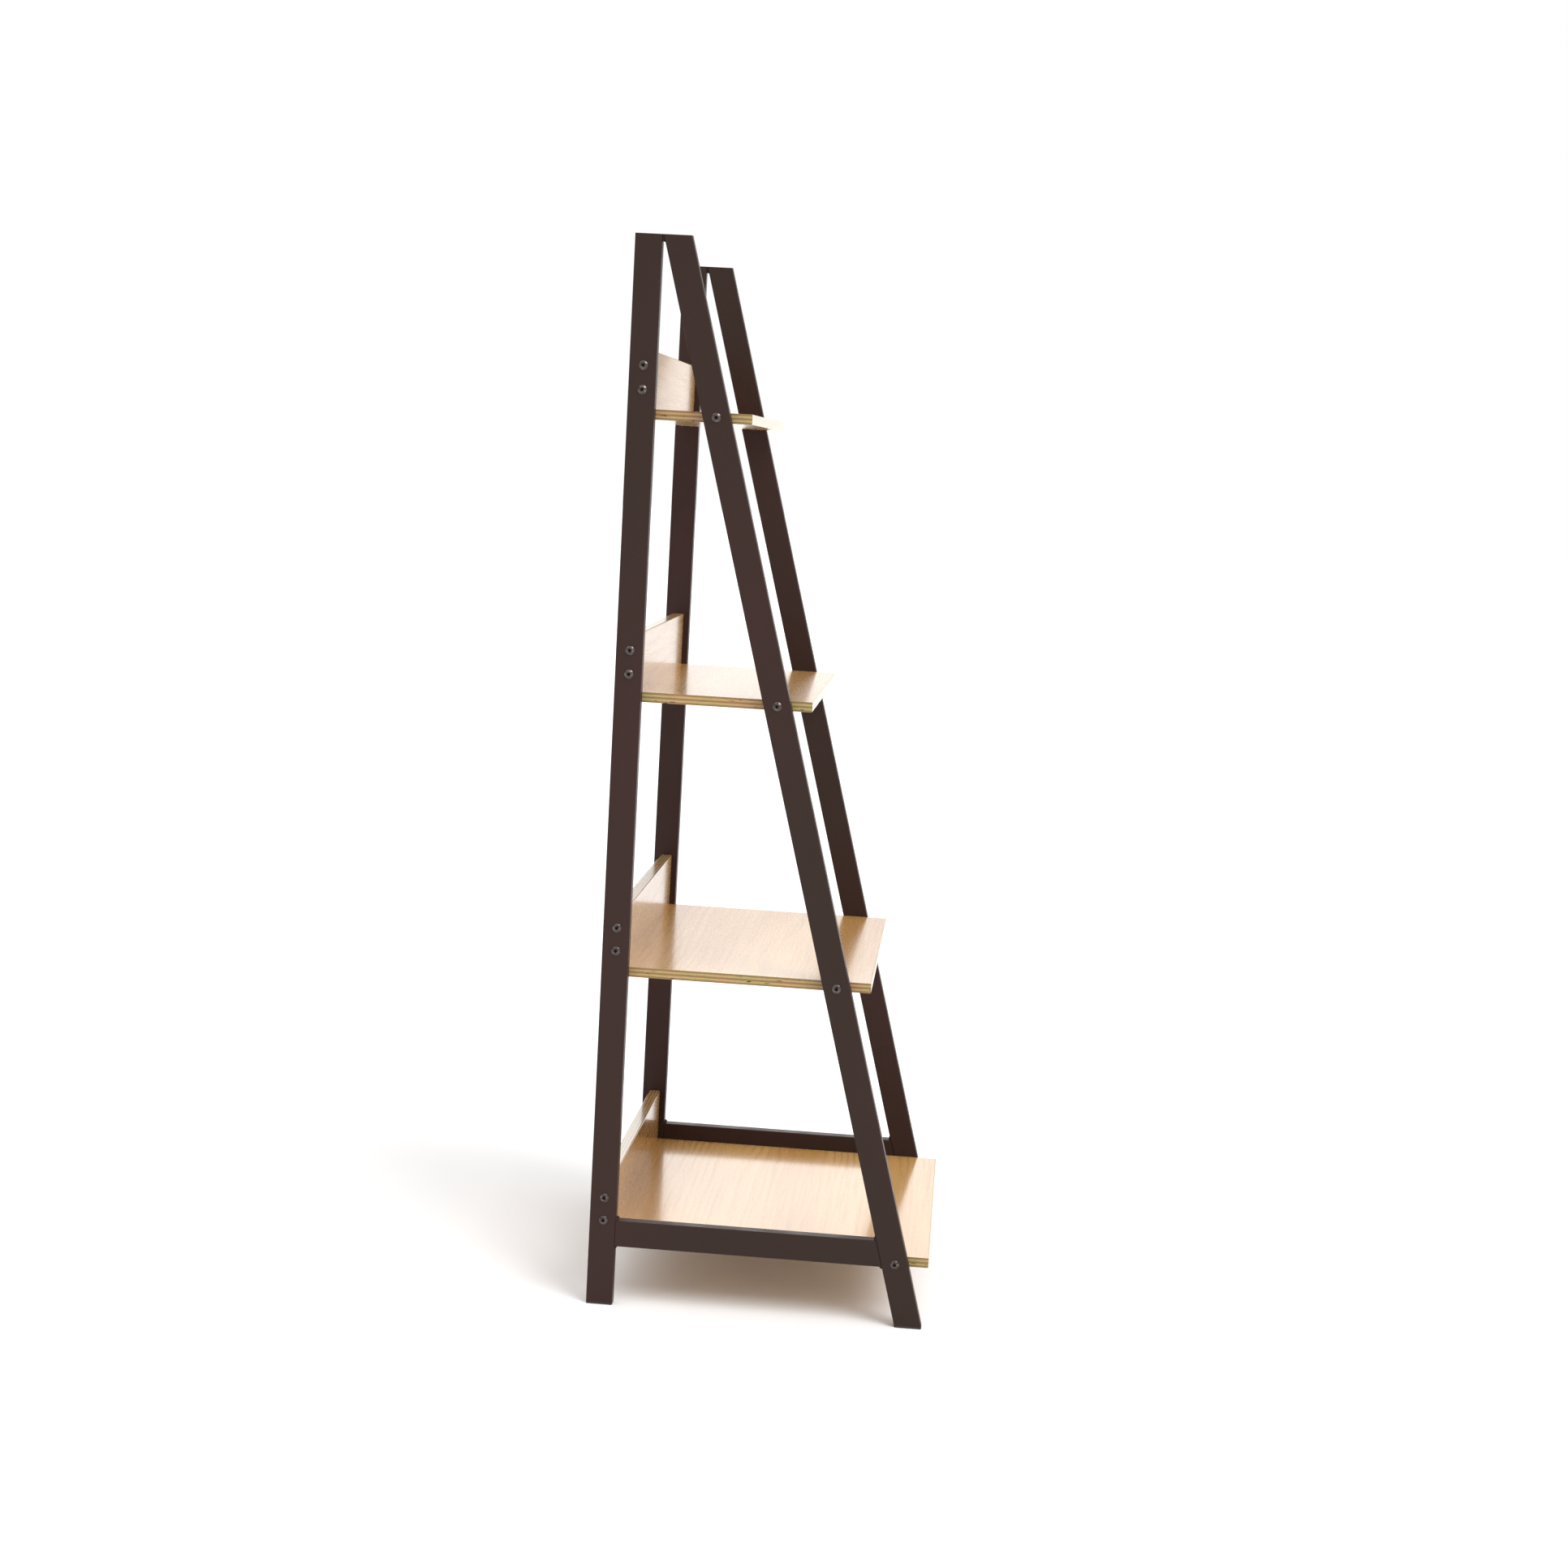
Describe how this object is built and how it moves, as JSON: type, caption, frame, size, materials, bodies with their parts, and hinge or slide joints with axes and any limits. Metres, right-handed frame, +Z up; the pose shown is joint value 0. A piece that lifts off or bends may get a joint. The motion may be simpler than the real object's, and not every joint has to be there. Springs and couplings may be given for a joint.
{
  "type": "ladder shelf",
  "caption": "Ladder shelf: two welded tube side frames with vertical rear and leaning front uprights carry bolted oak-look boards that grow deeper towards the floor, each with a low back board.",
  "frame": {"origin": "on the floor under the middle of the object's bounding box", "axes": "+X to the right for someone facing the shelf, -Y towards that person (the leaning front), +Y towards the wall (the vertical rear uprights), +Z up"},
  "size_m": [0.606, 0.5154, 1.6],
  "materials": {
    "powder_coat": "dark brown fine-texture powder coat, satin",
    "oak_board": "pale oak-look board with a fine straight grain, matt lacquer",
    "foot_plastic": "black moulded plastic, matt",
    "bolt_steel": "steel socket bolt with a brown coating, satin",
    "zinc_steel": "zinc-plated steel"
  },
  "bodies": {
    "root": {"rear_upright_left": "powder_coat", "rear_upright_right": "powder_coat", "front_upright_left": "powder_coat", "front_upright_right": "powder_coat", "base_rail_left": "powder_coat", "base_rail_right": "powder_coat", "top_cap_left": "powder_coat", "top_cap_right": "powder_coat", "foot_rear_left": "foot_plastic", "foot_rear_right": "foot_plastic", "foot_front_left": "foot_plastic", "foot_front_right": "foot_plastic", "shelf_board_1": "oak_board", "shelf_board_2": "oak_board", "shelf_board_3": "oak_board", "shelf_board_4": "oak_board", "back_board_1": "oak_board", "back_board_2": "oak_board", "back_board_3": "oak_board", "back_board_4": "oak_board", "bolts_1": "bolt_steel", "bolts_2": "bolt_steel", "bolts_3": "bolt_steel", "bolts_4": "bolt_steel", "inserts_1": "zinc_steel", "inserts_2": "zinc_steel", "inserts_3": "zinc_steel", "inserts_4": "zinc_steel", "lip_screws_1": "zinc_steel", "lip_screws_2": "zinc_steel", "lip_screws_3": "zinc_steel", "lip_screws_4": "zinc_steel"}
  },
  "joints": []
}
